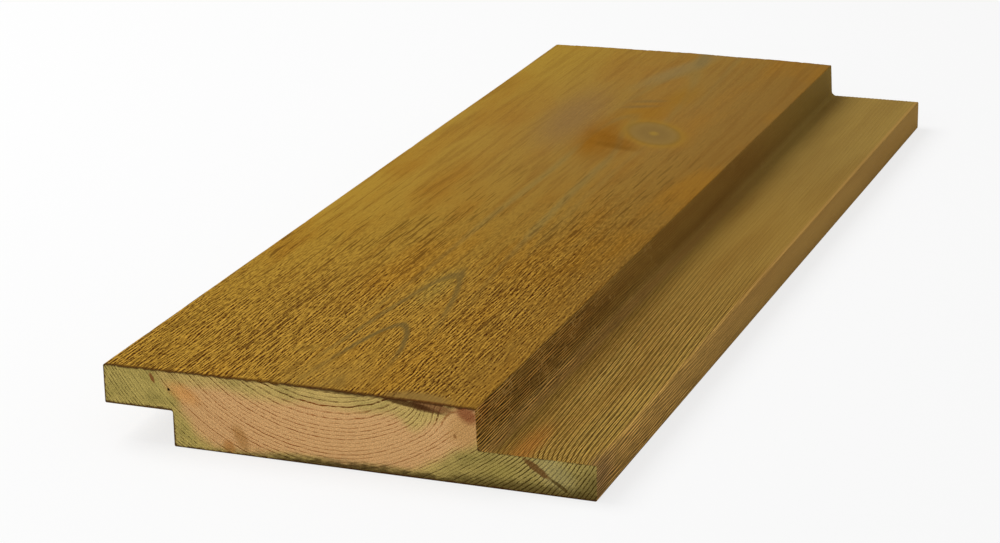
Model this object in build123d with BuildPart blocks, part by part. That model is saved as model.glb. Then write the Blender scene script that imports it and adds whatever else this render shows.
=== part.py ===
from build123d import *
import os

# Channel siding board: one length of treated pine with a lap lip and a tongue.
# Millimetres, +Z up. The board lies on its back with its length along Y.
# The origin is at the floor, under the middle of the board's width and length.
# The lip is on the -X edge and the tongue on the +X edge.

# Sawn blank
board_length = 375.0
board_width = 145.0
board_thickness = 22.0  # at the edges of the face
face_crown = 0.6  # how far drying has raised the middle of the face

# Lap joint: the lip of one board covers part of the next board's tongue
lip_width = 21.0
tongue_width = 33.5
tongue_thickness = 10.2
lap_clearance = 0.4  # air between a lip's underside and the tongue below it

# Shoulder between the face and the tongue
shoulder_batter = 0.5  # how far the top of the shoulder leans back from its foot
cove_radius = 1.6  # the cutter's rounding at the foot of the shoulder

# Edges eased by the planing heads
arris_radius = 0.4
rabbet_corner_radius = 0.6

# Places worked out from the sizes above
lip_edge_x = -board_width / 2
tongue_edge_x = board_width / 2
rabbet_cheek_x = lip_edge_x + lip_width
rabbet_height = tongue_thickness + lap_clearance
shoulder_foot_x = tongue_edge_x - tongue_width
shoulder_top_x = shoulder_foot_x - shoulder_batter
face_middle_x = (lip_edge_x + shoulder_top_x) / 2

inner_corners = {
    (rabbet_cheek_x, rabbet_height): rabbet_corner_radius,
    (shoulder_foot_x, tongue_thickness): cove_radius,
}


def corner_of(section, place):
    """The section's vertex nearest to an (x, z) place."""
    return section.vertices().sort_by_distance((*place, 0))[0]


with BuildPart() as board:
    with BuildSketch(Plane.XZ) as section:
        with BuildLine():
            # Down the lip's edge, round the rabbet, along the back, and over the tongue to the shoulder
            Polyline(
                (lip_edge_x, board_thickness),
                (lip_edge_x, rabbet_height),
                (rabbet_cheek_x, rabbet_height),
                (rabbet_cheek_x, 0),
                (tongue_edge_x, 0),
                (tongue_edge_x, tongue_thickness),
                (shoulder_foot_x, tongue_thickness),
                (shoulder_top_x, board_thickness),
            )
            # The crowned face, back to the lip's edge
            ThreePointArc(
                (shoulder_top_x, board_thickness),
                (face_middle_x, board_thickness + face_crown),
                (lip_edge_x, board_thickness),
            )
        make_face()
        # Ease every outer corner, then give the inner ones their cutters' radii
        outer_corners = section.vertices()
        for place in inner_corners:
            outer_corners.remove(corner_of(section, place))
        fillet(outer_corners, arris_radius)
        for place, radius in inner_corners.items():
            fillet(corner_of(section, place), radius)
    extrude(amount=board_length / 2, both=True)

board.part.label = "siding_board"

os.makedirs("parts", exist_ok=True)
export_step(board.part, "parts/siding_board.step")
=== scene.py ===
from functools import partial
import math

import bpy
import numpy as np
from mathutils import Matrix, Vector


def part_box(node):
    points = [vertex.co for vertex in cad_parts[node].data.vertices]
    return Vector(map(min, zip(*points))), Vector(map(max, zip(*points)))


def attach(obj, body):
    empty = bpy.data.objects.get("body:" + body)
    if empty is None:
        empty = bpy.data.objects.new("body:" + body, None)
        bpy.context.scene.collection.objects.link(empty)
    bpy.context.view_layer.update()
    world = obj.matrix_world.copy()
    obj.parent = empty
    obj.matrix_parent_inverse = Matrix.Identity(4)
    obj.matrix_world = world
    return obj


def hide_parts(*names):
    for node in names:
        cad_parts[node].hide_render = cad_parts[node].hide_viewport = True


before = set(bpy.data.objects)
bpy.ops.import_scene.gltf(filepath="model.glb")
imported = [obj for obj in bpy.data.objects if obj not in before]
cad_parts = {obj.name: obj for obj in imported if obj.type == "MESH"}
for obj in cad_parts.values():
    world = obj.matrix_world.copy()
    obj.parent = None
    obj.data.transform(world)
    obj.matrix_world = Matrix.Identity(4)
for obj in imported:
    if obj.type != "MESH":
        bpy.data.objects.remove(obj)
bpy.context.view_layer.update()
mm = 0.001  # lengths below are in millimetres, and meshes are written in metres
print("frame loaded, nodes:", sorted(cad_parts))


# Shared helpers
def linearColour(hexText):
    # sRGB hex to linear: a straight foot below 0.04045, then the 2.4 power
    srgb = np.array([int(hexText[i:i + 2], 16) / 255 for i in (1, 3, 5)])
    linear = np.where(srgb <= 0.04045, srgb / 12.92, ((srgb + 0.055) / 1.055) ** 2.4)
    return (*linear.tolist(), 1.0)


def addNode(tree, kind, inputs=(), out=0, **settings):
    # One node of a kind, with the operation that follows its name: settings are its properties, and inputs
    # are values, hex colours or sockets to link, in the order of its sockets or by name or number. Gives the
    # socket named by out, or the node where out is None
    kind, *operations = kind.split()
    node = tree.nodes.new("ShaderNode" + kind)
    for operation in operations:
        node.operation = operation
    for name, value in settings.items():
        setattr(node, name, value)
    for name, value in inputs.items() if isinstance(inputs, dict) else enumerate(inputs):
        if isinstance(value, bpy.types.NodeSocket):
            tree.links.new(value, node.inputs[name])
        else:
            node.inputs[name].default_value = linearColour(value) if isinstance(value, str) else value
    return node if out is None else node.outputs[out]


def perMm(*sizes):
    # Mapping scale that makes one unit of a texture as long as each size
    return [1 / (size * mm) for size in sizes]


def easeStep(value, start, end):
    # 0 before start, 1 after end, and a smooth cubic between
    share = np.clip((value - start) / (end - start), 0, 1)
    return share * share * (3 - 2 * share)


def latticeNoise(points, height, cell, seed):
    # Value noise up to the height either way: seeded random numbers on a lattice of that cell, joined by
    # smooth cubics. The lattice repeats after a prime number of cells each way
    lattice = np.random.default_rng(seed).uniform(-1, 1, (181, 113, 37))
    place = points / np.array(cell)
    base = np.floor(place).astype(int)
    part = place - base
    part = part * part * (3 - 2 * part)
    value = np.zeros(len(points))
    for corner in np.ndindex(2, 2, 2):
        weight = np.where(corner, part, 1 - part).prod(axis=1)
        value += weight * lattice[tuple(((base + corner) % lattice.shape).T)]
    return height * value


# Camera: at the photograph's place, worked out from the board's corners
cameraView = {
    "place": (300.7, -847.6, 301.4),
    "azimuth": 21.07,  # degrees to the right of straight along the board
    "elevation": 18.74,  # degrees looked down
    "roll": -1.10,
    "focalPixels": 2876.6,
    "imageWidth": 1000,
    "sensorWidth": 36.0,
}


def makeCamera(view):
    data = bpy.data.cameras.new("photoCamera")
    data.sensor_width = view["sensorWidth"]
    data.lens = view["focalPixels"] / view["imageWidth"] * view["sensorWidth"]
    camera = bpy.data.objects.new("photoCamera", data)
    bpy.context.scene.collection.objects.link(camera)
    turn = Matrix.Rotation(math.radians(view["azimuth"]), 4, "Z")
    tilt = Matrix.Rotation(math.radians(90 - view["elevation"]), 4, "X")
    roll = Matrix.Rotation(math.radians(view["roll"]), 4, "Z")
    place = Matrix.Translation([value * mm for value in view["place"]])
    camera.matrix_world = place @ turn @ tilt @ roll
    bpy.context.scene.camera = camera


makeCamera(cameraView)
print("camera set")

# The board's section, as the CAD model has it, and the steps that its surface is cut into
boardSizes = {
    "lipWidth": 21.0,
    "rabbetHeight": 10.6,
    "tongueWidth": 33.5,
    "tongueThickness": 10.2,
    "shoulderBatter": 0.5,
    "faceCrown": 0.6,
    "arrisRadius": 0.4,
    "rabbetRadius": 0.6,
    "coveRadius": 1.6,
    "arcSteps": 3,
    "steps": {"lipEdge": 1.4, "face": 0.5, "shoulder": 0.9, "tongue": 0.6, "tongueEdge": 1.3, "back": 4.0,
              "cheek": 2.0, "lipUnder": 2.5},  # mm round the section, for each side
    "rows": 222,  # steps along the length
    "rowStretch": 0.33,  # how much longer the far steps are, and the near ones shorter
    "endStep": 0.4,  # the very short first and last ones
    "endRows": 14,  # steps from face to back on each end
    "sharpAngle": 55,  # degrees, past which an edge is drawn sharp
    "bakeGap": 2.0,  # between the parts of the bake map
}
boxLow, boxHigh = [np.array(corner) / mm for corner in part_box("siding_board")]
lipEdgeX = boxLow[0]
tongueEdgeX = boxHigh[0]
nearY = boxLow[1]
farY = boxHigh[1]
faceZ = boxHigh[2] - boardSizes["faceCrown"]
cheekX = lipEdgeX + boardSizes["lipWidth"]
shoulderFootX = tongueEdgeX - boardSizes["tongueWidth"]
shoulderTopX = shoulderFootX - boardSizes["shoulderBatter"]


def sectionOutline(sizes):
    # Closed loop, clockwise from the lip's lower corner: every corner is an arc tangent to its two sides,
    # every side a straight run in steps of its own length, and the face bulges by a parabola
    arris = sizes["arrisRadius"]
    corners = [  # x, z, radius, the side that follows
        (lipEdgeX, sizes["rabbetHeight"], arris, "lipEdge"),
        (lipEdgeX, faceZ, arris, "face"),
        (shoulderTopX, faceZ, arris, "shoulder"),
        (shoulderFootX, sizes["tongueThickness"], sizes["coveRadius"], "tongue"),
        (tongueEdgeX, sizes["tongueThickness"], arris, "tongueEdge"),
        (tongueEdgeX, 0.0, arris, "back"),
        (cheekX, 0.0, arris, "cheek"),
        (cheekX, sizes["rabbetHeight"], sizes["rabbetRadius"], "lipUnder"),
    ]
    spots = np.array([corner[:2] for corner in corners])
    ahead = np.roll(spots, -1, axis=0) - spots
    ahead /= np.linalg.norm(ahead, axis=1)[:, None]
    behind = -np.roll(ahead, 1, axis=0)
    radii = np.array([corner[2] for corner in corners])
    halfTurn = np.arccos((ahead * behind).sum(axis=1)) / 2
    reach = radii / np.tan(halfTurn)
    starts = spots + behind * reach[:, None]
    ends = spots + ahead * reach[:, None]
    inward = (ahead + behind) / np.linalg.norm(ahead + behind, axis=1)[:, None]
    centres = spots + inward * (radii / np.sin(halfTurn))[:, None]
    runs, names = [], []
    share = np.linspace(0, 1, sizes["arcSteps"] + 1)[:, None]
    for k, (_, _, radius, side) in enumerate(corners):
        spoke = (starts[k] - centres[k]) * (1 - share) + (ends[k] - centres[k]) * share
        arc = centres[k] + radius * spoke / np.linalg.norm(spoke, axis=1)[:, None]
        nextStart = starts[(k + 1) % len(corners)]
        count = max(2, round(np.linalg.norm(nextStart - ends[k]) / sizes["steps"][side]))
        straight = ends[k] + (nextStart - ends[k]) * np.linspace(0, 1, count + 1)[1:-1, None]
        runs += [arc, straight]
        half = len(arc) // 2
        names += [corners[k - 1][3]] * half + [side] * (len(arc) - half + len(straight))
    outline = np.concatenate(runs)
    sides = np.array(names)
    middle = (lipEdgeX + shoulderTopX) / 2
    rise = 1 - ((outline[:, 0] - middle) / (shoulderTopX - middle)) ** 2
    outline[:, 1] += np.where(sides == "face", sizes["faceCrown"] * np.clip(rise, 0, 1), 0)
    return outline, sides


# The wood inside the board: where the pith runs, its two knots and the rings that they push aside.
# Across is from the lip's edge, along from the near end, and up from the floor
woodGrain = {
    "ringWidth": 1.12,
    "firstRing": 41.5,  # radius of the latewood line that makes the near arch on the face
    "firstCount": 40.9,  # and the ring count there
    "wideRing": 46.5,  # radius where the rings are nearly twice as wide
    "wideRings": (0.98, 2.5),  # how many rings fewer that makes, over how many mm
    "narrowRings": (0.6, 64, 80, 2),  # how much denser, from one radius to another, how softly
    "pithAcross": 69.0,
    "pithAbove": 40.62,  # over the face, at the near end
    "pithDrift": (5, 20, 200),  # mm toward the lip, from here to there along
    "pithClimbs": [(2.6, -15, 118), (0.12, 60, 105), (0.6, 90, 220), (2.7, 235, 400)],  # mm up, from, to
    "knotPlace": (75.8, 264.2),  # across, along
    "knotHalf": (9.2, 16.0),
    "knotTurn": -33.0,
    "knotParting": (14, 22, 0.8),  # mm across and along where the layers part round it, and how far
    "endKnotPlace": (100.0, 24.0),  # across and up, just over the near end's upper edge
    "endKnotReach": 6.6,
    "endKnotLift": 5.2,
    "endDepth": 14,  # mm along that what happens at the near end reaches
    "shoulderLean": (2.6, 70, 108),  # mm that the rings lean to the shoulder, from here to there across
    "leanBelow": (11, 16),  # all along up to this height, and only near the end from that one
    "tongueHook": (1.9, 131, 14, 8),  # the rings' turn at the tongue's near end: mm, across, half width, deep
    # Noises, each as height in mm, cell and seed
    "unevenness": [(0.15, (26, 150, 26), 11), (0.05, (5, 60, 5), 12), (0.03, (2.3, 40, 2.3), 13)],
}


def knotDistance(across, along, grain):
    # Distance from the knot's middle in its own tilted half sizes: 1 is its rim
    turn = math.radians(grain["knotTurn"])
    u = across - grain["knotPlace"][0]
    v = along - grain["knotPlace"][1]
    wide = u * math.cos(turn) - v * math.sin(turn)
    tall = u * math.sin(turn) + v * math.cos(turn)
    return np.hypot(wide / grain["knotHalf"][0], tall / grain["knotHalf"][1])


def ringField(points, grain):
    # Growth rings: distance from a pith that climbs along the board, with the layers parted round the knot,
    # pushed down by the knot at the near end and made uneven by noise, all divided by the ring's width
    across = points[:, 0] - lipEdgeX
    along = points[:, 1] - nearY
    up = points[:, 2]
    knotAcross, knotAlong = grain["knotPlace"]
    partAcross, partAlong, partShare = grain["knotParting"]
    shift = across - knotAcross
    parted = np.exp(-(shift / partAcross) ** 2 - ((along - knotAlong) / partAlong) ** 2)
    across = knotAcross + shift * (1 - partShare * parted)
    drift, driftStart, driftEnd = grain["pithDrift"]
    pithAcross = grain["pithAcross"] - drift * easeStep(along, driftStart, driftEnd)
    climb = sum(rise * easeStep(along, start, end) for rise, start, end in grain["pithClimbs"])
    radius = np.hypot(across - pithAcross, faceZ + grain["pithAbove"] + climb - up)
    hook, hookAcross, hookHalf, hookDepth = grain["tongueHook"]
    radius -= hook * np.exp(-((across - hookAcross) / hookHalf) ** 2 - np.maximum(along, 0) / hookDepth)
    endKnotAcross, endKnotUp = grain["endKnotPlace"]
    fromKnot = np.hypot(across - endKnotAcross, up - endKnotUp) / grain["endKnotReach"]
    nearEnd = np.exp(-(along / grain["endDepth"]) ** 2)
    radius += grain["endKnotLift"] * np.exp(-fromKnot ** 2) * nearEnd
    lean, leanStart, leanEnd = grain["shoulderLean"]
    below = 1 - easeStep(up, *grain["leanBelow"])
    radius += lean * easeStep(across, leanStart, leanEnd) * np.maximum(nearEnd, below)
    for noise in grain["unevenness"]:
        radius += latticeNoise(points, *noise)
    first, wide = grain["firstRing"], grain["wideRing"]
    fewer, over = grain["wideRings"]
    denser, narrowFrom, narrowTo, soft = grain["narrowRings"]
    count = (radius - first) / grain["ringWidth"] + grain["firstCount"]
    count -= fewer * (np.tanh((radius - wide) / over) - np.tanh((first - wide) / over))
    count += denser * np.logaddexp(0, (radius - narrowFrom) / soft)
    count -= denser * np.logaddexp(0, (radius - narrowTo) / soft)
    return radius, count


# How deep the preservative went, in millimetres, with a height, cell and seed for each unevenness
treatment = {
    "heartRadius": 67.0,
    "heartEdge": 1.5,  # half the width of its soft edge
    "heartNoise": (1.2, (5, 40, 5), 21),
    "heartSpread": (0.33, 16.5, 50, 75),  # mm farther out per mm below a height, up to here, none from there
    "topDepth": 4.4,
    "topNoise": (2.4, (9, 40, 40), 22),
    "topPocket": (5, 93, 4),  # mm deeper, at this place across, half width
    "topThin": (3.5, 98, 108),  # mm shallower, from here to there across
    "topEdge": (-1.2, 2.4),
    "topShare": 0.72,
    "backDepth": 1.6,
    "backNoise": (0.9, (9, 40, 40), 23),
    "backEdge": (-0.8, 0.9),
}


def treatedShare(points, radius, reach):
    # 1 where the preservative reached: outside the heartwood, which spreads below the lip, and in a skin of
    # uneven depth under face and back
    across = points[:, 0] - lipEdgeX
    up = points[:, 2]
    spread, spreadTop, spreadStart, spreadEnd = reach["heartSpread"]
    edge = spread * np.maximum(spreadTop - up, 0) * (1 - easeStep(across, spreadStart, spreadEnd))
    beyond = radius + latticeNoise(points, *reach["heartNoise"]) - reach["heartRadius"] - edge
    sapwood = easeStep(beyond, -reach["heartEdge"], reach["heartEdge"])
    deeper, pocket, pocketHalf = reach["topPocket"]
    thinner, thinStart, thinEnd = reach["topThin"]
    topDepth = reach["topDepth"] + latticeNoise(points, *reach["topNoise"])
    topDepth += deeper * np.exp(-((across - pocket) / pocketHalf) ** 2)
    topDepth -= thinner * easeStep(across, thinStart, thinEnd)
    underTop = reach["topShare"] * easeStep(up - faceZ + topDepth, *reach["topEdge"])
    backDepth = reach["backDepth"] + latticeNoise(points, *reach["backNoise"])
    overBack = 1 - easeStep(up - backDepth, *reach["backEdge"])
    return np.maximum(np.maximum(sapwood, underTop), overBack)


# Relief of the rough-sawn face and the planed sides in millimetres, each noise as height, cell and seed
reliefSizes = {
    "pitDepth": 0.05,
    "pitNoise": (1.0, (0.9, 3.4, 400), 31),
    "pitRows": (0.15, 0.3),  # part of a ring where pits are likelier, how much
    "pitLimit": 0.45,
    "fibreHeight": 0.03,
    "fibreNoises": [(1.0, (0.9, 7, 400), 33), (0.6, (1.6, 14, 400), 34)],
    "waveNoise": (1.0, (18, 60, 30), 35),
    "waveHeights": (0.12, 0.05, 0.04),  # on the face, the tongue's top and the other sides
    "ridgeHeight": 0.05,
    "ridgePart": 0.8,  # part of a ring where the latewood stands highest
    "tornDepth": 0.35,
    "tornReach": 0.5,  # mm in from an end
    "tornFar": 0.2,  # how much of that the far end has
    "tornNoise": (1.0, (1.3, 400, 400), 36),
    "tornRange": (0.3, 1.2),  # added to the noise, and the most that is kept
}


def sawnPits(points, ringCount, sizes):
    # Torn-out pits, 0 to 1: stretched noise above a threshold, in rows where the rings come out of the face
    part, likelier = sizes["pitRows"]
    rows = 0.5 + 0.5 * np.cos(2 * math.pi * (ringCount - part))
    coarse = latticeNoise(points, *sizes["pitNoise"])
    return np.clip((coarse + likelier * rows - sizes["pitLimit"]) / sizes["pitLimit"], 0, 1)


def reliefHeight(points, sides, ringCount, sizes):
    # Face: fibres and a slow wave less the pits, torn away at its ends. Tongue: latewood ridges and the wave.
    # Other sides: the wave, and on the back only its hollows
    faceWave, tongueWave, sideWave = sizes["waveHeights"]
    wave = latticeNoise(points, *sizes["waveNoise"])
    fibres = sum(latticeNoise(points, *noise) for noise in sizes["fibreNoises"])
    pits = sawnPits(points, ringCount, sizes)
    sawn = sizes["fibreHeight"] * fibres + faceWave * wave - sizes["pitDepth"] * pits
    ridges = np.cos(2 * math.pi * (ringCount - sizes["ridgePart"]))
    planed = sizes["ridgeHeight"] * ridges + tongueWave * wave
    onFace = sides == "face"
    height = np.where(onFace, sawn, np.where(sides == "tongue", planed, sideWave * wave))
    torn = np.exp(-(points[:, 1] - nearY) / sizes["tornReach"])
    torn += sizes["tornFar"] * np.exp(-(farY - points[:, 1]) / sizes["tornReach"])
    tornBias, tornMost = sizes["tornRange"]
    ragged = np.clip(latticeNoise(points, *sizes["tornNoise"]) + tornBias, 0, tornMost)
    height -= np.where(onFace, sizes["tornDepth"] * torn * ragged, 0)
    return np.where(sides == "back", np.minimum(height, 0), height)


def endGrid(upper, lower, rows):
    # One end: straight lines from the upper chain to the lower one, cut into rows, the matching points found
    # by arc length between shared landmarks. Gives the inner points and, for the lower chain, its arc lengths
    def lengths(chain):
        return np.concatenate([[0], np.cumsum(np.linalg.norm(np.diff(chain, axis=0), axis=1))])

    def nearest(chain, spot):
        return np.argmin(np.linalg.norm(chain - np.array(spot), axis=1))

    upLength, lowLength = lengths(upper), lengths(lower)
    rabbetTurn = lowLength[nearest(lower, (cheekX, boardSizes["rabbetHeight"]))]
    backTurn = lowLength[nearest(lower, (cheekX, 0))]
    # x and z on the upper chain, arc length on the lower one, a few mm apart so that no two lines cross
    landmarks = [
        ((lipEdgeX, faceZ), 1.0),
        ((cheekX, faceZ + 0.5), rabbetTurn),
        ((cheekX + 5, faceZ + 0.5), backTurn),
        ((shoulderTopX, faceZ), backTurn + shoulderTopX - cheekX - 7),
        ((shoulderFootX, boardSizes["tongueThickness"]), backTurn + shoulderFootX - cheekX - 1),
        ((tongueEdgeX, boardSizes["tongueThickness"]), lowLength[-1] - 1.0),
    ]
    marks = [upLength[nearest(upper, spot)] for spot, _ in landmarks]
    match = np.interp(upLength, [0, *marks, upLength[-1]], [0, *[m for _, m in landmarks], lowLength[-1]])
    foot = np.stack([np.interp(match, lowLength, lower[:, k]) for k in (0, 1)], axis=1)
    share = np.linspace(0, 1, rows + 1)[1:-1, None, None]
    inner = upper * (1 - share) + foot * share
    return inner[:, 1:-1], match, lowLength


def zipFaces(first, second, firstPlace, secondPlace):
    # Triangles between two chains of vertex numbers that run side by side, taken in the order of their places
    firstMiddle = (firstPlace[:-1] + firstPlace[1:]) / 2
    secondMiddle = (secondPlace[:-1] + secondPlace[1:]) / 2
    across = np.searchsorted(secondMiddle, firstMiddle)
    back = np.searchsorted(firstMiddle, secondMiddle)
    ones = np.stack([first[:-1], first[1:], second[across]], axis=1)
    others = np.stack([first[back], second[1:], second[:-1]], axis=1)
    faces = np.concatenate([ones, others])
    whole = (faces[:, 0] != faces[:, 1]) & (faces[:, 1] != faces[:, 2]) & (faces[:, 0] != faces[:, 2])
    return faces[whole]


def rimDepth(points, sizes):
    # How far a point of an end is from the outline, straight up, down or to the left: a little more under the
    # tongue's top, where the dark rim is narrower, and a little less over the lip's underside, where it is
    # wider. The dark rim, partly painted shade, is laid by this distance
    narrowerRim, widerRim, nudge = 0.3, 0.25, 0.1
    middle = (lipEdgeX + shoulderTopX) / 2
    rise = sizes["faceCrown"] * (1 - ((points[:, 0] - middle) / (shoulderTopX - middle)) ** 2)
    tongueTop = sizes["tongueThickness"] + narrowerRim
    top = np.where(points[:, 0] < shoulderFootX - 2 * nudge, faceZ + rise, tongueTop)
    bottom = np.where(points[:, 0] < cheekX - nudge, sizes["rabbetHeight"] + widerRim, 0)
    left = np.where(points[:, 2] < sizes["rabbetHeight"] - nudge, cheekX, lipEdgeX)
    return np.minimum(np.minimum(top - points[:, 2], points[:, 2] - bottom), points[:, 0] - left)


def boardEnds(shaped, sides, stations, sizes):
    # Both ends: a grid of inner points stretched between the upper and the lower chain of the outline, which
    # run from the lip's edge to the tongue's edge, and a strip of triangles along the lower one
    rows, count = len(stations), len(sides)
    onLip = np.flatnonzero(sides == "lipEdge")
    onTongue = np.flatnonzero(sides == "tongueEdge")
    upperRing = np.arange(onLip[0], onTongue[-1] + 1)
    lowerRing = np.concatenate([np.arange(onLip[0], -1, -1), np.arange(count - 1, onTongue[-1] - 1, -1)])
    points, quads, triangles = [], [], []
    total = len(shaped)
    for row, outward in ((0, False), (rows - 1, True)):
        ring = shaped[row * count:(row + 1) * count, [0, 2]]
        inner, match, lowLength = endGrid(ring[upperRing], ring[lowerRing], sizes["endRows"])
        innerRows, innerCols = inner.shape[:2]
        points.append(np.insert(inner.reshape(-1, 2), 1, stations[row], axis=1))
        grid = np.empty((innerRows + 1, innerCols + 2), int)
        grid[0] = upperRing + row * count
        grid[1:, 1:-1] = total + np.arange(innerRows * innerCols).reshape(innerRows, innerCols)
        grid[1:, 0] = grid[0, 0]
        grid[1:, -1] = grid[0, -1]
        cells = np.stack([grid[:-1, 1:-2], grid[1:, 1:-2], grid[1:, 2:-1], grid[:-1, 2:-1]], axis=-1)
        cells = cells.reshape(-1, 4)
        left = np.stack([grid[:-1, 0], grid[1:, 1], grid[:-1, 1]], axis=-1)
        right = np.stack([grid[:-1, -2], grid[1:, -2], grid[:-1, -1]], axis=-1)
        zipped = zipFaces(grid[-1], lowerRing + row * count, match, lowLength)[:, ::-1]
        edges = np.concatenate([left, right, zipped])
        quads.append(cells[:, ::-1] if outward else cells)
        triangles.append(edges[:, ::-1] if outward else edges)
        total += innerRows * innerCols
    return np.concatenate(points), np.concatenate(quads), np.concatenate(triangles)


def fillMesh(name, vertices, quads, triangles, finish):
    # A mesh of the quads and then the triangles, each face with the number of its finish
    corners = np.concatenate([quads.ravel(), triangles.ravel()])
    faceSizes = np.repeat([4, 3], [len(quads), len(triangles)])
    mesh = bpy.data.meshes.new(name)
    mesh.vertices.add(len(vertices))
    mesh.vertices.foreach_set("co", (vertices * mm).astype(np.float32).ravel())
    mesh.loops.add(len(corners))
    mesh.loops.foreach_set("vertex_index", corners.astype(np.int32))
    mesh.polygons.add(len(faceSizes))
    mesh.polygons.foreach_set("loop_start", (np.cumsum(faceSizes) - faceSizes).astype(np.int32))
    mesh.polygons.foreach_set("material_index", finish.astype(np.int32))
    return mesh, corners


def bakePlaces(outline, stations, endCorners, gap):
    # Bake map: the skin unrolled, and the two ends in a column beside it, all in one square
    pieces = np.linalg.norm(np.roll(outline, -1, axis=0) - outline, axis=1)
    cells = (len(stations) - 1, len(outline))
    low = np.broadcast_to((stations - nearY)[:-1, None], cells)
    high = np.broadcast_to((stations - nearY)[1:, None], cells)
    left = np.broadcast_to(np.cumsum(pieces) - pieces, cells)
    right = left + pieces
    skinMap = np.stack([left, low, right, low, right, high, left, high], axis=-1)
    endColumn = pieces.sum() + 2 * gap
    endMap = np.stack([endColumn + endCorners[:, 2], endCorners[:, 0] - lipEdgeX], axis=1)
    endMap[:, 1] += np.where(endCorners[:, 1] > 0, tongueEdgeX - lipEdgeX + 3 * gap, 0)
    square = max(farY - nearY, endColumn + boxHigh[2]) + 2 * gap
    return (np.concatenate([skinMap.reshape(-1, 2), endMap]) + gap) / square


def makeBoard(sizes, grain, reach, relief):
    # The section carried along the length, each point moved out by the relief, and an end closed at each side
    outline, sides = sectionOutline(sizes)
    count = len(outline)
    tangent = np.roll(outline, -1, axis=0) - np.roll(outline, 1, axis=0)
    tangent /= np.linalg.norm(tangent, axis=1)[:, None]
    normal = np.stack([-tangent[:, 1], tangent[:, 0]], axis=1)
    # Rows along the length: short steps near, long steps far, and one very short step at each end
    share = np.linspace(0, 1, sizes["rows"] + 1)
    stretch, endStep = sizes["rowStretch"], sizes["endStep"]
    stations = nearY + (farY - nearY) * (share * (1 - stretch) + stretch * share * share)
    stations = np.concatenate([[nearY, nearY + endStep], stations[1:-1], [farY - endStep, farY]])
    rows = len(stations)
    skin = np.empty((rows, count, 3))
    skin[:, :, 0] = outline[:, 0]
    skin[:, :, 1] = stations[:, None]
    skin[:, :, 2] = outline[:, 1]
    flat = skin.reshape(-1, 3)
    _, skinRings = ringField(flat, grain)
    height = reliefHeight(flat, np.tile(sides, rows), skinRings, relief)
    shaped = flat.copy()
    shaped[:, 0] += height * np.tile(normal[:, 0], rows)
    shaped[:, 2] += height * np.tile(normal[:, 1], rows)
    # Skin faces: each cell joins two neighbours on the outline with the same two on the next row
    number = np.arange(rows * count).reshape(rows, count)
    nextRound = np.roll(number, -1, axis=1)
    skinFaces = np.stack([number[:-1], nextRound[:-1], nextRound[1:], number[1:]], axis=-1).reshape(-1, 4)
    endPoints, endQuads, triangles = boardEnds(shaped, sides, stations, sizes)
    vertices = np.concatenate([shaped, endPoints])
    quads = np.concatenate([skinFaces, endQuads])
    # Finishes: 0 on the face, 1 on the planed sides, 2 on the ends
    finish = np.full(len(quads) + len(triangles), 2)
    finish[:len(skinFaces)] = np.where(np.tile(sides, rows - 1) == "face", 0, 1)
    mesh, corners = fillMesh("sidingBoard", vertices, quads, triangles, finish)
    places = bakePlaces(outline, stations, vertices[corners[skinFaces.size:]], sizes["bakeGap"])
    layer = mesh.uv_layers.new(name="OFBake")
    layer.uv.foreach_set("vector", places.astype(np.float32).ravel())
    mesh.update(calc_edges=True)
    mesh.polygons.foreach_set("use_smooth", np.ones(len(mesh.polygons), bool))
    mesh.set_sharp_from_angle(angle=math.radians(sizes["sharpAngle"]))
    # How many rings a millimetre of the skin crosses: steep rings are close together, flat ones far apart
    roundPlace = np.concatenate([[0], np.cumsum(np.linalg.norm(np.diff(outline, axis=0), axis=1))])
    ringGrid = skinRings.reshape(rows, count)
    skinRate = np.hypot(np.gradient(ringGrid, roundPlace, axis=1), np.gradient(ringGrid, stations, axis=0))
    endRate = np.full(len(endPoints), 1 / grain["ringWidth"])
    # What the materials read: rings, the knot, how far the preservative reached and how near the rim is
    solid = np.concatenate([flat, endPoints])
    radius, ringCount = ringField(solid, grain)
    fields = {
        "ringCount": ringCount,
        "ringRate": np.concatenate([skinRate.ravel(), endRate]),
        "treated": treatedShare(solid, radius, reach),
        "knot": knotDistance(solid[:, 0] - lipEdgeX, solid[:, 1] - nearY, grain),
        "rimDepth": rimDepth(solid, sizes),
    }
    for name, values in fields.items():
        attribute = mesh.attributes.new(name, "FLOAT", "POINT")
        attribute.data.foreach_set("value", values.astype(np.float32))
    board = bpy.data.objects.new("pineBoard", mesh)
    bpy.context.scene.collection.objects.link(board)
    print("board mesh:", len(vertices), "points,", 2 * len(quads) + len(triangles), "triangles")
    return board


pineBoard = makeBoard(boardSizes, woodGrain, treatment, reliefSizes)


# What the three finishes of the wood share
def startWood(name):
    # An empty material, the function that adds nodes to it, and the place on the board with its X and Y
    material = bpy.data.materials.new(name)
    material.use_nodes = True
    add = partial(addNode, material.node_tree)
    place = add("TexCoord", out="Object")
    axes = add("SeparateXYZ", [place], None)
    return material, add, place, axes.outputs["X"], axes.outputs["Y"]


def finishWood(material, look, colour, height):
    # The colour and the finest relief go into bare wood, which has only a trace of gloss
    tree = material.node_tree
    shader = tree.nodes["Principled BSDF"]
    bump = addNode(tree, "Bump", {"Height": height, "Distance": look["reliefDepth"] * mm})
    tree.links.new(bump, shader.inputs["Normal"])
    tree.links.new(colour, shader.inputs["Base Color"])
    for socket, value in {"Roughness": look["roughness"], "IOR": 1.5, "Specular IOR Level": 0.02}.items():
        shader.inputs[socket].default_value = value
    return material


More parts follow.
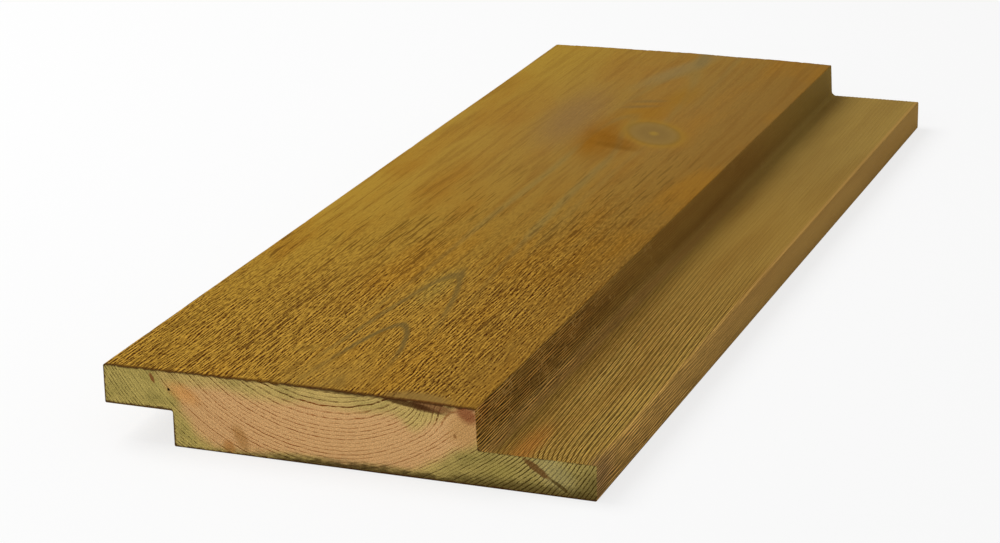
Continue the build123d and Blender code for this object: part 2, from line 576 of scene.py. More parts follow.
def latewoodLines(add, rise, weakest, wobble=0.0, wobbleRings=0.0, perRing=1.0):
    # The ring count's fraction runs from 0 to 1 through one ring: pale earlywood, a smooth rise to dark
    # latewood, then a hard end, and every ring has a strength of its own
    darkest, ending = 0.88, 0.94  # parts of a ring
    count = add("Attribute", out="Fac", attribute_name="ringCount")
    count = add("Math MULTIPLY_ADD", [wobble, wobbleRings, count])
    count = add("Math MULTIPLY", [count, perRing])
    phase = add("Math FRACT", [count])
    whole = add("Math FLOOR", [count])
    own = add("TexWhiteNoise", {"W": whole}, noise_dimensions="1D")
    strength = add("MapRange", [own, 0.0, 1.0, weakest, 1.0])
    darker = add("MapRange", [phase, rise, darkest], interpolation_type="SMOOTHSTEP")
    stop = add("MapRange", [phase, 1.0, ending], interpolation_type="SMOOTHSTEP")
    line = add("Math MULTIPLY", [darker, stop])
    return add("Math MULTIPLY", [line, strength])


def ringLines(add, full, none):
    # Lines of one width where the rings come out of the skin: 1 up to the full distance from a ring's end and
    # 0 past the none distance, in mm
    beforeEnd, fewest = 0.4, 0.06  # half a ring before its dark end, the fewest rings that a mm crosses
    count = add("Attribute", out="Fac", attribute_name="ringCount")
    rate = add("Attribute", out="Fac", attribute_name="ringRate")
    phase = add("Math SUBTRACT", [count, beforeEnd])
    phase = add("Math FRACT", [phase])
    away = add("Math SUBTRACT", [phase, 0.5])
    away = add("Math ABSOLUTE", [away])
    slowest = add("Math MAXIMUM", [rate, fewest])
    gap = add("Math DIVIDE", [away, slowest])
    return add("MapRange", [gap, none, full], interpolation_type="SMOOTHSTEP")


def stretchedNoise(add, place, size, detail=2.0, out=0, levels=None):
    # Noise whose spots are as long as each size in mm, or the levels that a part of it becomes
    local = add("Mapping", {"Vector": place, "Scale": perMm(*size)})
    noise = add("TexNoise", {"Vector": local, "Scale": 1.0, "Detail": detail}, out)
    return add("MapRange", [noise, *levels]) if levels else noise


def combedNoise(add, place, size, spacing, straight):
    # Short combs of parallel fibres: waves of one spacing across the grain, each comb a patch of the size in
    # mm, and straight is 1 where none leans from the others. Across is across the face and down the sides
    # together, so the waves run along on both
    wide, long = size
    slope = wide / math.sqrt(2)
    local = add("Mapping", {
        "Vector": place, "Rotation": (0, math.radians(-45), 0), "Scale": perMm(slope, long, slope)})
    return add("TexGabor", {
        "Vector": local, "Scale": 1.0, "Frequency": wide / spacing, "Anisotropy": straight,
        "Orientation": 0.0}, gabor_type="2D")


def fadeAlong(add, axisX, axisY, fade, slant=0.0):
    # 1 up to the first distance from the near end, then down to the faint level at the second, and the slant
    # is how much later the fade comes for each millimetre across
    start, end, faint = fade
    value = add("Math MULTIPLY_ADD", [axisX, -slant, axisY])
    origin = nearY - slant * lipEdgeX
    return add("MapRange", [value, (origin + start) * mm, (origin + end) * mm, 1.0, faint],
               interpolation_type="SMOOTHSTEP")


def layTints(add, colour, layers):
    # Each tint in turn laid over the colour by its share
    for share, tint in layers:
        colour = add("Mix", {0: share, 6: colour, 7: tint}, 2, data_type="RGBA")
    return colour


def softSpot(middle, half, edge, strength, tint=None, turn=(0, 0, 0)):
    # One soft spot, used for stains and for patches of painted light and shade: its middle and half sizes in
    # mm across, along and up, how soft its edge is, how strong it is, its tint, and its turn in degrees
    return {"middle": middle, "half": half, "edge": edge, "strength": strength, "tint": tint, "turn": turn}


def softSpotMask(add, place, spot):
    # An ellipsoid of the spot's half sizes: its strength inside, 0 outside, and a soft rim between
    across, along, up = spot["middle"]
    local = add("Mapping", {
        "Vector": place, "Location": ((lipEdgeX + across) * mm, (nearY + along) * mm, up * mm),
        "Rotation": [math.radians(angle) for angle in spot["turn"]],
        "Scale": [half * mm for half in spot["half"]]}, vector_type="TEXTURE")
    away = add("VectorMath LENGTH", [local], "Value")
    return add("MapRange", [away, 1 + spot["edge"], 1 - spot["edge"], 0.0, spot["strength"]],
               interpolation_type="SMOOTHSTEP")


def layTintedSpots(add, place, colour, tintedSpots):
    return layTints(add, colour, [(softSpotMask(add, place, spot), spot["tint"]) for spot in tintedSpots])


# Each Range below is the part of a noise that is used, from and to, and the two levels that it becomes
sawnFace = {
    "roughness": 0.9,
    "reliefDepth": 0.04,
    "lipTint": "#AA852F",
    "shoulderTint": "#8A6527",
    "warmTint": "#9C6C1C",
    # The next two tints are painted light: a highlight on the ridges of the torn fibres, and shade in the
    # tears
    "ridgeHighlightTint": "#CE9E3E",
    "tearShadeTint": "#462203",
    "archTint": "#735C2C",
    "bandTint": "#8A7B44",
    "streakTint": "#7E5214",
    # painted shade under the torn fibres of the near edge
    "tornEdgeShadeTint": "#4A2C0C",
    # Torn fibres, drawn coarser than the real third of a millimetre so that they show: mm across and along
    # that one comb of them covers, mm from one fibre to the next, and how strong
    "combs": [((1.6, 5.5), 1.0, 0.97), ((2.8, 7.0), 1.7, 0.42)],
    "combStraight": 0.9,
    "combRange": (0.37, 0.63),
    "combTone": (-1.28, 1.12),  # in the tears, on the ridges
    "dash": (0.45, 3.0, 2.0),  # short tears: mm across, along, up
    "dashRange": (0.27, 0.65, -0.9, 0.4),
    "furrow": (0.6, 15.0, 3.0),  # long tears
    # how strong the painted shade in the tears is
    "tearShadeShare": 0.85,
    "breaks": (0.5, 1.2, 20),  # size of the gaps that break the fibres into dashes
    "breaksRange": (0.35, 0.65, 0.1, 1.6),
    "patch": (5, 14, 20),  # size of the calmer and rougher patches
    "patchRange": (0.35, 0.65, 0.55, 1.15),
    "streak": (2.4, 45, 20),  # long reddish streaks
    "streakRange": (0.5, 0.66, 0.0, 0.35),
    "wander": (22, 60, 22),
    "wanderReach": 2.4,
    "blotch": (17, 60, 30),
    "warmRange": (0.48, 0.68, 0.0, 0.7),
    "pithLine": 66,  # mm from the lip's edge
    "archHalf": (8, 16),  # mm either side of the pith line: flat grain, steep grain
    "archRings": (41.3, 43.7, 1.0, 0.35),  # ring counts: clear arches, faint ones, and how clear
    "archLine": (0.25, 1.6),  # mm from a flat ring's end: full grey, no grey
    "archFade": (12, 34, 0.3),  # arches: faint up to here from the near end, clear from there, how faint
    "archCalm": 0.7,  # how much calmer the face is on an arch
    "flatCalm": 0.22,  # and between them
    "bandLine": (0.3, 2.4),  # as archLine, for the soft bands farther along
    "archPart": (105, 150, 0.25),  # arches up to here, bands from there
    "rowLine": (0.1, 0.5),  # mm from a steep ring's end: deepest row of tears, no row
    "rowTone": -0.3,
    "rowTears": 0.05,  # how much likelier a long tear is along a steep ring's end
    # the near edge's dark strip is painted shade under its torn fibres
    "edgeStrip": (-0.35, 0.6),  # mm from the near end: dark torn edge, clean face
    "edgeRagged": 1.4,
    "edgeShare": 0.85,
    # the painted highlight on the ridges, stronger on the lip's side than on the shoulder's
    "ridgeHighlightShare": (0.95, 0.68),  # how pale the ridges are on the lip's side and on the shoulder's
    "tearStrength": 0.65,
    "tearLimit": (0.39, 0.295),  # the noise below which a long tear opens: at the near end, elsewhere
    "tearEdge": 0.05,
    "endTears": 5.0,  # mm from the near end that have more of them
    "shoulderStrip": (20, 3, 0.5),  # the face gets calmer from here, is calmest from there, how calm
    "knotCalm": (0.9, 1.5, 0.2),  # in knot sizes: calm up to here, rough from there, how calm
    "fineFade": (-8, 108, 0.05),  # fine fibres: full up to here, faint from there, how faint
    "tearFade": (30, 165, 0.1),
    "longFade": (86, 225, 0.1),
    "fadeSlant": 0.7,  # mm later for each mm across
    "tearSpots": [  # where the long tears are thick
        softSpot((40, 110, 22.5), (13, 100, 9), 0.6, 0.055, turn=(0, 0, -3)),
        softSpot((93, 120, 22.5), (18, 110, 9), 0.6, 0.05),
    ],
    "smoothSpots": [  # where the saw left no tears
        softSpot((95, 0, 22.5), (10, 6, 9), 0.3, 0.85),
        softSpot((50.5, 27.8, 22.5), (3.0, 3.4, 9), 0.5, 0.5),
        softSpot((65, 11, 22.5), (14, 15, 9), 0.6, 0.36),
    ],
    "tintedSpots": [
        # The lip's side, and the far half
        softSpot((40, 0, 22.5), (80, 90, 9), 0.8, 0.38, "#C09034"),
        softSpot((58, 300, 22.5), (55, 110, 9), 0.8, 0.3, "#846842"),
        # Orange streaks beside the knot
        softSpot((61, 253, 22.5), (8, 22, 9), 0.8, 0.66, "#8A5502", (0, 0, 10)),
        softSpot((66, 252.5, 22.5), (13, 3.4, 9), 0.7, 0.5, "#82520C", (0, 0, -36)),
        softSpot((58, 250, 22.5), (2.2, 15, 9), 0.8, 0.5, "#8C5A0C", (0, 0, 14)),
        softSpot((69, 245, 22.5), (7.5, 2.6, 9), 0.7, 0.55, "#744806", (0, 0, -20)),
        # Grey and orange patches round and past the knot
        softSpot((43, 275, 22.5), (9, 31, 9), 0.8, 0.85, "#8A6A3C", (0, 0, 6)),
        softSpot((66, 288, 22.5), (8, 10, 9), 0.8, 0.5, "#96670F"),
        softSpot((72, 312, 22.5), (5, 14, 9), 0.8, 0.45, "#96670F"),
        softSpot((62, 296, 22.5), (6, 1.7, 9), 0.7, 0.6, "#7C6236", (0, 0, 24)),
        softSpot((63, 304, 22.5), (5.5, 1.8, 9), 0.7, 0.55, "#7A6234", (0, 0, 24)),
        softSpot((60, 348, 22.5), (4.2, 24, 9), 0.7, 0.65, "#8A7648", (0, 0, -15)),
        softSpot((64, 366, 22.5), (2.4, 12, 9), 0.7, 0.8, "#806C40", (0, 0, 10)),
        softSpot((10, 350, 22.5), (18, 60, 9), 0.8, 0.2, "#A68A2E"),
        # Round the arches and at the near end
        softSpot((66, 88, 22.5), (4, 16, 9), 0.8, 0.5, "#94803A"),
        softSpot((66, 8, 22.5), (13, 11, 9), 0.7, 0.35, "#8A6E34"),
        softSpot((95, 1, 22.5), (9.5, 5.5, 9), 0.35, 0.85, "#8A6C36"),
        softSpot((98, 0, 22.5), (8, 1.0, 9), 0.5, 0.7, "#7A4620"),
        # The pin knot
        softSpot((50.5, 27.8, 22.5), (3.6, 4, 9), 0.4, 0.4, "#A88535"),
        softSpot((50.5, 27.8, 22.5), (1.9, 2.2, 9), 0.5, 0.6, "#6F4D18"),
    ],
    "knotBands": [  # how far out, how soft, how strong, and the tint, from the outside in
        (1.14, 0.26, 0.38, "#A07C24"),
        (0.97, 0.1, 0.5, "#7A5E2A"),
        (0.86, 0.14, 0.8, "#8C703A"),
        (0.6, 0.3, 0.65, "#806434"),
        (0.16, 0.1, 0.7, "#9C7C30"),
    ],
}


def roughSawnPine(look):
    # Rough-sawn, pressure-treated pine: a dull golden brown skin combed into fine torn fibres, with painted
    # shade in the tears and painted highlight on the ridges, smooth and greyish where latewood lies flat in
    # the face, with no gloss
    material, add, place, axisX, axisY = startWood("roughSawnTreatedPine")
    fineFade, tearFade, longFade = [
        fadeAlong(add, axisX, axisY, look[name], look["fadeSlant"])
        for name in ("fineFade", "tearFade", "longFade")]
    # The grain wanders a little from side to side
    wander = stretchedNoise(add, place, look["wander"], 1.0, "Color")
    grainPlace = add("VectorMath MULTIPLY_ADD", [wander, (look["wanderReach"] * mm, 0, 0), place])
    dash = stretchedNoise(add, grainPlace, look["dash"], 1.0)
    furrow = stretchedNoise(add, grainPlace, look["furrow"], 0.0)
    knot = add("Attribute", out="Fac", attribute_name="knot")
    # Flat rings by the pith line make arches, the innermost the clearest, and steep ones make rows of tears
    offPith = add("Math SUBTRACT", [axisX, (lipEdgeX + look["pithLine"]) * mm])
    offPith = add("Math ABSOLUTE", [offPith])
    flat = add("MapRange", [offPith, look["archHalf"][1] * mm, look["archHalf"][0] * mm])
    steep = add("Math SUBTRACT", [1.0, flat])
    count = add("Attribute", out="Fac", attribute_name="ringCount")
    clear = add("MapRange", [count, *look["archRings"]])
    archStart, archEnd, archFaint = look["archFade"]
    pastEnd = add("MapRange", [axisY, (nearY + archStart) * mm, (nearY + archEnd) * mm, archFaint])
    archPart = fadeAlong(add, axisX, axisY, look["archPart"])
    bandPart = add("Math SUBTRACT", [1.0, archPart])
    archLine, bandLine, rowLine = [
        ringLines(add, *look[name]) for name in ("archLine", "bandLine", "rowLine")]
    for share in (flat, clear, pastEnd, archPart):
        archLine = add("Math MULTIPLY", [archLine, share])
    for share in (flat, clear, bandPart):
        bandLine = add("Math MULTIPLY", [bandLine, share])
    rowLine = add("Math MULTIPLY", [rowLine, steep])
    # Where the surface is calm: on the knot, on flat latewood, by the shoulder and on the smooth spots
    calm = add("MapRange", [knot, *look["knotCalm"]])
    onArch = add("Math MULTIPLY_ADD", [archLine, -look["archCalm"], 1.0])
    onFlat = add("Math MULTIPLY_ADD", [flat, -look["flatCalm"], 1.0])
    stripStart, stripEnd, stripLevel = look["shoulderStrip"]
    onStrip = add("MapRange", [
        axisX, (shoulderTopX - stripStart) * mm, (shoulderTopX - stripEnd) * mm, 1.0, stripLevel])
    spots = [add("Math SUBTRACT", [1.0, softSpotMask(add, place, spot)]) for spot in look["smoothSpots"]]
    for share in (onArch, onFlat, onStrip, *spots):
        calm = add("Math MULTIPLY", [calm, share])
    # Tone: from -1 in the tears to 1 on the ridges, in fine fibres, short tears and rows along steep rings.
    # It is the finest relief, and it is also painted into the colour as shade in the tears and highlight on
    # the ridges
    fibreTone = 0.0
    for size, spacing, strength in look["combs"]:
        fibre = combedNoise(add, grainPlace, size, spacing, look["combStraight"])
        fibre = add("MapRange", [
            fibre, *look["combRange"], *[level * strength for level in look["combTone"]]])
        fibreTone = add("Math ADD", [fibreTone, fibre])
    patch = stretchedNoise(add, grainPlace, look["patch"], 1.0, levels=look["patchRange"])
    breaks = stretchedNoise(add, grainPlace, look["breaks"], 0.0, levels=look["breaksRange"])
    for share in (patch, breaks, fineFade):
        fibreTone = add("Math MULTIPLY", [fibreTone, share])
    dashTone = add("MapRange", [dash, *look["dashRange"]])
    dashTone = add("Math MULTIPLY_ADD", [rowLine, look["rowTone"], dashTone])
    tone = add("Math MULTIPLY_ADD", [dashTone, tearFade, fibreTone])
    tone = add("Math MULTIPLY", [tone, calm])
    # Long tears: more of them at the near end, along steep rings and in the tear spots
    limit = add("MapRange", [axisY, nearY * mm, (nearY + look["endTears"]) * mm, *look["tearLimit"]])
    limit = add("Math MULTIPLY_ADD", [rowLine, look["rowTears"], limit])
    for spot in look["tearSpots"]:
        limit = add("Math ADD", [limit, softSpotMask(add, place, spot)])
    tear = add("Math SUBTRACT", [limit, furrow])
    tear = add("MapRange", [tear, 0.0, look["tearEdge"]])
    for share in (calm, longFade, look["tearStrength"]):
        tear = add("Math MULTIPLY", [tear, share])
    # Colour: lip side to shoulder side, warm blotches, bands, stains, grey arches and the knot
    side = add("MapRange", [axisX, lipEdgeX * mm, shoulderTopX * mm])
    warm = stretchedNoise(add, place, look["blotch"], 3.0, levels=look["warmRange"])
    streak = stretchedNoise(add, grainPlace, look["streak"], 1.0, levels=look["streakRange"])
    colour = layTints(add, look["lipTint"], [
        (side, look["shoulderTint"]), (warm, look["warmTint"]), (streak, look["streakTint"]),
        (bandLine, look["bandTint"])])
    colour = layTintedSpots(add, grainPlace, colour, look["tintedSpots"])
    colour = layTints(add, colour, [(archLine, look["archTint"])])
    for out, soft, strength, tint in look["knotBands"]:
        band = add("MapRange", [knot, out + soft, out - soft, 0.0, strength],
                   interpolation_type="SMOOTHSTEP")
        colour = layTints(add, colour, [(band, tint)])
    # Then painted highlight on the ridges, painted shade in the tears, and painted shade under the torn
    # fibres of the near edge
    highlightShare = add("MapRange", [side, 0.0, 1.0, *look["ridgeHighlightShare"]])
    pale = add("Math MULTIPLY", [tone, highlightShare], use_clamp=True)
    dark = add("Math MULTIPLY", [tone, -look["tearShadeShare"]], use_clamp=True)
    dark = add("Math MAXIMUM", [dark, tear])
    # A ragged strip of painted shade along the near edge, under its torn fibres
    ragged = add("Math MULTIPLY_ADD", [dash, -look["edgeRagged"] * mm, axisY])
    torn, clean = look["edgeStrip"]
    strip = add("MapRange", [ragged, (nearY + clean) * mm, (nearY + torn) * mm, 0.0, look["edgeShare"]])
    colour = layTints(add, colour, [
        (pale, look["ridgeHighlightTint"]), (dark, look["tearShadeTint"]), (strip, look["tornEdgeShadeTint"])])
    height = add("Math MULTIPLY_ADD", [tear, -1.0, tone])
    return finishWood(material, look, colour, height)


planedSides = {
    "roughness": 0.8,
    "reliefDepth": 0.12,
    "earlywood": "#A8873F",
    "latewood": "#3E2404",
    "darkTint": "#7E581F",
    "hairTint": "#C49A55",
    "ringLine": (0.48, 0.8),  # part of a ring where it starts to darken, how strong the faintest ring is
    "ringFade": (80, 205, 0.12),  # ring lines: full up to here, faint from there, how faint
    "uprightLines": 0.6,  # how much of the ring lines the upright sides hide
    # Fine lengthwise fibres on the tongue's top: mm across and along that one comb of them covers, mm from
    # one fibre to the next, how straight they are, and as a Range the shades of the darkest and the palest
    "smoothComb": ((1.2, 7.0), 0.62, 1.0, (0.37, 0.63, -0.5, 0.5)),
    # The same on the upright sides, with pale fibres that stand out of the dark
    "roughComb": ((1.6, 10.0), 0.85, 0.92, (0.45, 0.66, -0.7, 1.8)),
    "roughFade": (20, 130, 0.35),  # these stand out up to here, and less from there, how much
    "edgeShare": 0.7,  # how much of that the tongue's edge has
    "edgeStrip": 0.8,  # mm of the tongue beside its edge that are as rough
    "roughStrip": (6.0, 1.0),  # mm from the shoulder's foot: smooth from here, as rough as it to there
    "line": (0.28, 24.0, 0.28),  # long faint streaks
    "speck": (0.28, 1.3, 0.28),
    "streakRange": (0.75, 1.25, -0.3, 0.3),  # of both together
    "shadeLevel": 0.95,
    "hair": (3.2, 4.5, 3.2),  # size of the curls in the loose fibres
    "hairLine": (0.012, 0.036),  # noise off its middle: whole fibre, no fibre
    "hairPatch": (5, 7, 5),
    "hairRange": (0.5, 0.6, 0.0, 0.6),
    "blotch": (9, 70, 9),
    "darkRange": (0.42, 0.68, 0.0, 0.35),
    "tintedSpots": [
        # The tongue's top
        softSpot((122.8, 6, 10), (3.4, 16, 4), 0.7, 0.75, "#A0682A"),
        softSpot((119.5, 60, 10), (3.5, 90, 2), 0.6, 0.45, "#98702E"),
        # Painted light on the tongue's top beside the shoulder's foot, over the shade that the shoulder casts
        softSpot((114, 60, 10.4), (2.2, 170, 1.6), 0.5, 0.5, "#C49450"),
        softSpot((130, 190, 10.2), (25, 110, 3), 0.6, 0.3, "#7A5420"),
        softSpot((130, 340, 10.2), (25, 90, 3), 0.6, 0.3, "#86703F"),
        # The shoulder
        softSpot((111, 250, 17), (1.6, 190, 9), 0.5, 0.4, "#7A4C1C"),
        softSpot((111, 20, 17), (1.6, 90, 9), 0.6, 0.22, "#8A4A22"),
        softSpot((111, 2, 20.5), (2, 10, 4.5), 0.7, 0.5, "#7A4A1C"),
        softSpot((111, 375, 17), (1.6, 70, 9), 0.8, 0.5, "#96803E"),
        # The tongue's edge: painted light along its whole length, such as the white floor throws up on it,
        # then a greyish mark at its near end
        softSpot((145, 187, 5), (1.2, 900, 30), 0.5, 0.55, "#B88C4C"),
        softSpot((145, 2, 6), (3, 11, 6), 0.7, 0.68, "#7A5C3A"),
    ],
}


def planedPine(look):
    # Planed, pressure-treated pine: straight ring lines like corduroy, dark latewood between yellow
    # earlywood, fine fibre streaks, a few loose curly fibres and no sheen, and painted light beside the
    # shoulder and on the tongue's edge
    material, add, place, axisX, axisY = startWood("planedTreatedPine")
    strength = fadeAlong(add, axisX, axisY, look["ringFade"])
    # The upright sides are rougher than the tongue's top, and hide most of their ring lines
    smoothFrom, roughTo = look["roughStrip"]
    beforeTongue = add("MapRange", [
        axisX, (shoulderFootX + smoothFrom) * mm, (shoulderFootX + roughTo) * mm])
    pastTongue = add("MapRange", [axisX, (tongueEdgeX - look["edgeStrip"]) * mm, tongueEdgeX * mm])
    upright = add("Math ADD", [beforeTongue, pastTongue])
    clear = add("Math MULTIPLY_ADD", [upright, -look["uprightLines"], strength], use_clamp=True)
    latewood = latewoodLines(add, *look["ringLine"])
    latewood = add("Math MULTIPLY", [latewood, clear])
    dark = stretchedNoise(add, place, look["blotch"], levels=look["darkRange"])
    colour = layTints(add, look["earlywood"], [(latewood, look["latewood"]), (dark, look["darkTint"])])
    colour = layTintedSpots(add, place, colour, look["tintedSpots"])
    # Loose fibres: thin lines where a slow noise crosses its middle, kept only in patches
    hair = stretchedNoise(add, place, look["hair"], 1.0)
    hair = add("Math SUBTRACT", [hair, 0.5])
    hair = add("Math ABSOLUTE", [hair])
    hair = add("MapRange", [hair, look["hairLine"][1], look["hairLine"][0]])
    patch = stretchedNoise(add, place, look["hairPatch"], 1.0, levels=look["hairRange"])
    for share in (patch, strength, beforeTongue):
        hair = add("Math MULTIPLY", [hair, share])
    # Shade: long streaks and specks, then the combs of the tongue's top and of the upright sides
    line = stretchedNoise(add, place, look["line"])
    speck = stretchedNoise(add, place, look["speck"])
    shade = add("Math ADD", [line, speck])
    shade = add("MapRange", [shade, *look["streakRange"]])
    level = add("Math SUBTRACT", [1.0, upright])
    rough = add("Math MULTIPLY_ADD", [pastTongue, look["edgeShare"], beforeTongue])
    roughFade = fadeAlong(add, axisX, axisY, look["roughFade"])
    rough = add("Math MULTIPLY", [rough, roughFade])
    for comb, share in (("smoothComb", level), ("roughComb", rough)):
        size, spacing, straight, shades = look[comb]
        fibre = combedNoise(add, place, size, spacing, straight)
        fibre = add("MapRange", [fibre, *shades])
        shade = add("Math MULTIPLY_ADD", [fibre, share, shade])
    shade = add("Math MULTIPLY_ADD", [shade, strength, look["shadeLevel"]])
    colour = add("VectorMath SCALE", {0: colour, "Scale": shade})
    colour = layTints(add, colour, [(hair, look["hairTint"])])
    height = add("Math ADD", [line, latewood])
    return finishWood(material, look, colour, height)


endGrain = {
    "roughness": 0.85,
    "reliefDepth": 0.1,
    "heart": "#D0A46E",
    "heartLine": "#8A4C18",
    "sap": "#BEA95E",
    "sapLine": "#2A1A05",
    "greenTint": "#8C8042",
    # the rim: darker toward the outline, partly painted shade under the torn fibres of the upper edge
    "rimShadeTint": "#422610",
    "grit": (0.24, 0.3, 0.24),
    "gritRange": (0.3, 0.7, 0.5, 1.5),
    "broken": (1.6, 30, 0.9),  # how long the ring lines run before they fade
    "brokenRange": (0.35, 0.6, 0.3, 1.0),
    "wobble": (3.0, 30, 1.6),  # the rings' small waves
    "wobbleRings": 0.5,
    "ringLine": (0.58, 0.35),  # part of a ring where it starts to darken, how strong the faintest ring is
    "ringPart": (104, 116),  # ring lines: plain up to here from the lip, darkest from there
    "ringStrength": (1.3, 2.6),
    "fineLine": (0.5, 0.3),  # as ringLine, for finer lines between the rings' own
    "finePerRing": 2.0,
    "finePart": (22, 55),  # strong up to here from the lip, faint from there
    "fineStrength": (0.58, 0.2),
    "blotch": (7, 40, 5),
    "greenRange": (0.45, 0.7, 0.0, 0.7),
    "rimWidth": (0.55, 0.95),  # mm: dark up to here, clean from there
    "rimBroken": 0.5,
    "rimShare": 0.9,
    "spotRagged": 0.8,  # mm that the spots' outlines wander
    "tintedSpots": [
        # Treated wood of the tongue and the lip
        softSpot((130, 0, 4), (22, 6, 9), 0.5, 0.25, "#6E5C30"),
        softSpot((144, 0, 3), (5, 6, 6), 0.8, 0.5, "#40300F"),
        softSpot((133, 0, 6.5), (6, 6, 3.5), 0.6, 0.4, "#A89C6A", (0, 35, 0)),
        softSpot((118, 0, 5), (4, 6, 2.2), 0.7, 0.4, "#A8984C"),
        softSpot((8, 0, 16), (18, 6, 14), 0.7, 0.18, "#7E6C30"),
        softSpot((10, 0, 16.5), (8, 6, 3.5), 0.8, 0.28, "#B2A05A", (0, 8, 0)),
        softSpot((115, 0, 5), (9, 6, 6), 0.6, 0.25, "#7C6A34"),
        # Heartwood
        softSpot((108, 0, 15.6), (4.8, 6, 4.8), 0.6, 0.88, "#BE925A"),
        softSpot((84, 0, 7), (17, 6, 6), 0.7, 0.3, "#CCA06A"),
        # Painted shade along the upper edge, under its torn fibres
        softSpot((71, 0, 22.5), (14, 6, 0.8), 0.5, 0.8, "#3C240E", (0, 1, 0)),
        softSpot((24.5, 0, 16), (4.5, 6, 2.2), 0.7, 0.5, "#D09048", (0, 25, 0)),
        # The knot at the upper edge
        softSpot((98.5, 0, 21.2), (6.0, 6, 1.5), 0.3, 0.8, "#74462A", (0, 6, 0)),
        softSpot((91.5, 0, 21.3), (7.5, 6, 0.9), 0.35, 0.9, "#42260F", (0, 7, 0)),
        softSpot((97.5, 0, 19.9), (4.5, 6, 0.5), 0.4, 0.75, "#4E2E16", (0, 5, 0)),
        softSpot((108.5, 0, 20.3), (3.4, 6, 2.2), 0.5, 0.85, "#844A2A", (0, 35, 0)),
        # Small marks, and the brown check in the tongue
        softSpot((105.1, 0, 13.5), (0.5, 6, 0.6), 0.4, 0.7, "#7A4E22"),
        softSpot((41.5, 0, 5.2), (1.8, 6, 3.8), 0.5, 0.6, "#9C6E36", (0, -28, 0)),
        softSpot((38.0, 0, 1.8), (1.6, 6, 2.2), 0.5, 0.6, "#A86E30", (0, -28, 0)),
        softSpot((128.2, 0, 7.2), (1.0, 6, 4.4), 0.25, 0.9, "#6A4824", (0, -56, 0)),
        softSpot((134.5, 0, 3.2), (0.5, 6, 3.2), 0.3, 0.8, "#4A3512", (0, -56, 0)),
        softSpot((15.1, 0, 19.7), (0.6, 6, 1.5), 0.3, 0.9, "#7A4824", (0, -25, 0)),
        softSpot((20.1, 0, 16.7), (0.5, 6, 0.5), 0.2, 1.0, "#1E1004"),
    ],
    "fringeWander": (2.6, 30, 0.9),  # how the dark fringe along the bottom comes and goes
    "fringeReach": 4.0,
    "fringe": [
        softSpot((76, 0, -0.6), (34, 6, 2.6), 0.5, 0.88, "#3D2E13"),
        softSpot((124, 0, -0.6), (28, 6, 3.4), 0.5, 0.75, "#443312"),
    ],
}


def sawnEndGrain(look):
    # Sawn end grain: matt salmon heartwood that the preservative did not reach, inside khaki treated sapwood,
    # every ring closed by a thin dark line, and a dark rim that is partly painted shade under the torn fibres
    # of the upper edge
    material, add, place, axisX, _ = startWood("sawnEndGrainPine")
    # Ring lines, broken and darkest on the tongue, and finer lines between them by the lip
    wobble = stretchedNoise(add, place, look["wobble"], 2.0)
    broken = stretchedNoise(add, place, look["broken"], levels=look["brokenRange"])
    latewood = latewoodLines(add, *look["ringLine"], wobble, look["wobbleRings"])
    latewood = add("Math MULTIPLY", [latewood, broken])
    fine = latewoodLines(add, *look["fineLine"], wobble, look["wobbleRings"], look["finePerRing"])
    ringShare, fineShare = [
        add("MapRange", [axisX, *[(lipEdgeX + part) * mm for part in look[parts]], *look[levels]])
        for parts, levels in (("ringPart", "ringStrength"), ("finePart", "fineStrength"))]
    latewood = add("Math MULTIPLY", [latewood, ringShare], use_clamp=True)
    fine = add("Math MULTIPLY", [fine, fineShare])
    latewood = add("Math MAXIMUM", [latewood, fine])
    # Heartwood and sapwood
    treated = add("Attribute", out="Fac", attribute_name="treated")
    green = stretchedNoise(add, place, look["blotch"], 3.0, levels=look["greenRange"])
    green = add("Math MULTIPLY", [green, treated])
    late = layTints(add, look["heartLine"], [(treated, look["sapLine"])])
    colour = layTints(add, look["heart"], [
        (treated, look["sap"]), (green, look["greenTint"]), (latewood, late)])
    # Stains and a strip of painted shade, with ragged outlines; the dark fringe along the bottom; and the
    # rim, partly painted shade
    wander = stretchedNoise(add, place, look["broken"], 2.0, "Color")
    reach = look["spotRagged"] * mm
    ragged = add("VectorMath MULTIPLY_ADD", [wander, (reach, 0, reach), place])
    ragged = add("VectorMath ADD", [ragged, (-reach / 2, 0, -reach / 2)])
    colour = layTintedSpots(add, ragged, colour, look["tintedSpots"])
    wander = stretchedNoise(add, place, look["fringeWander"], 2.0)
    reach = look["fringeReach"] * mm
    ragged = add("VectorMath MULTIPLY_ADD", [(0, 0, reach), wander, place])
    ragged = add("VectorMath ADD", [ragged, (0, 0, -reach / 2)])
    colour = layTintedSpots(add, ragged, colour, look["fringe"])
    # The rim: darker toward the outline, partly painted shade under the torn fibres of the upper edge
    rim = add("Attribute", out="Fac", attribute_name="rimDepth")
    rim = add("Math MULTIPLY_ADD", [broken, look["rimBroken"], rim])
    rim = add("MapRange", [rim, look["rimWidth"][1], look["rimWidth"][0], 0.0, look["rimShare"]])
    colour = layTints(add, colour, [(rim, look["rimShadeTint"])])
    grit = stretchedNoise(add, place, look["grit"])
    shade = add("MapRange", [grit, *look["gritRange"]])
    colour = add("VectorMath SCALE", {0: colour, "Scale": shade})
    height = add("Math ADD", [grit, latewood])
    return finishWood(material, look, colour, height)


for finish in (roughSawnPine(sawnFace), planedPine(planedSides), sawnEndGrain(endGrain)):
    pineBoard.data.materials.append(finish)
print("materials made:", [material.name for material in pineBoard.data.materials])
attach(pineBoard, "root")
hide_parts("siding_board")

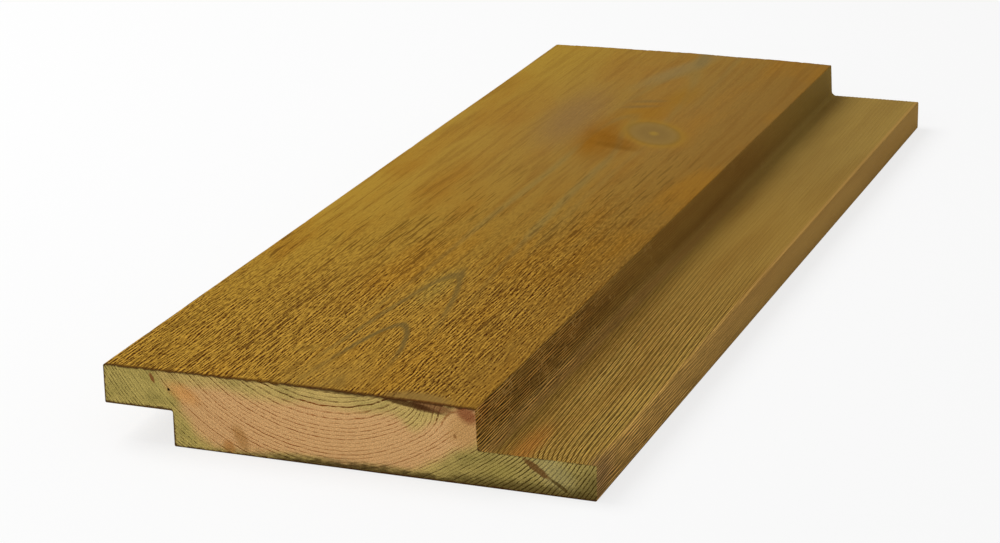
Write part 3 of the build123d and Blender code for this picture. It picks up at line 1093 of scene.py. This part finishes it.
# Studio: a white table, a broad lamp high on the left, a weaker one in front, and even light all round
studio = {
    "tableHalf": 4000,
    "tableDrop": 0.05,  # under the board
    "tableColour": "#F2F2F2",
    "tableGlow": 0.75,
    "skyLevel": 0.42,
    "white": "#FFFFFF",
    "lamps": {  # place, size, power in watts
        "highLeftLamp": ((-720, 60, 1000), 800, 9.6),
        "frontLamp": ((-250, -1300, 480), 800, 5.0),
    },
}


def seenRays(add):
    # 1 for rays that show the background itself: straight to the camera, in a gloss or through glass
    path = add("LightPath", out=None)
    seen = path.outputs["Is Camera Ray"]
    for ray in ("Is Glossy Ray", "Is Transmission Ray"):
        seen = add("Math MAXIMUM", [seen, path.outputs[ray]])
    return seen


def makeStudio(values):
    half = values["tableHalf"] * mm
    drop = values["tableDrop"] * mm
    mesh = bpy.data.meshes.new("table")
    mesh.from_pydata([(-half, -half, -drop), (half, -half, -drop), (half, half, -drop), (-half, half, -drop)],
                     [], [(0, 1, 2, 3)])
    table = bpy.data.objects.new("table", mesh)
    bpy.context.scene.collection.objects.link(table)
    # White paper: matt, and bright by itself where it is seen, so that it fades into the background
    material = bpy.data.materials.new("whitePaper")
    material.use_nodes = True
    material.node_tree.nodes.clear()
    add = partial(addNode, material.node_tree)
    glow = add("Math MULTIPLY", [seenRays(add), values["tableGlow"]])
    paper = add("BsdfDiffuse", {"Color": values["tableColour"]})
    white = add("Emission", {"Color": values["white"], "Strength": 1.0})
    mixed = add("MixShader", [glow, paper, white])
    add("OutputMaterial", {"Surface": mixed}, None)
    mesh.materials.append(material)
    world = bpy.data.worlds.new("studio")
    bpy.context.scene.world = world
    world.use_nodes = True
    world.node_tree.nodes.clear()
    add = partial(addNode, world.node_tree)
    level = add("MapRange", [seenRays(add), 0.0, 1.0, values["skyLevel"], 1.0])
    sky = add("Background", {"Color": values["white"], "Strength": level})
    add("OutputWorld", {"Surface": sky}, None)
    for name, (place, size, power) in values["lamps"].items():
        lampData = bpy.data.lights.new(name, "AREA")
        lampData.size = size * mm
        lampData.energy = power
        lamp = bpy.data.objects.new(name, lampData)
        bpy.context.scene.collection.objects.link(lamp)
        lamp.location = Vector(place) * mm
        lamp.rotation_euler = Vector(place).to_track_quat("Z", "Y").to_euler()  # aimed at the origin
    bpy.context.scene.view_settings.view_transform = "Standard"


makeStudio(studio)
print("studio set")
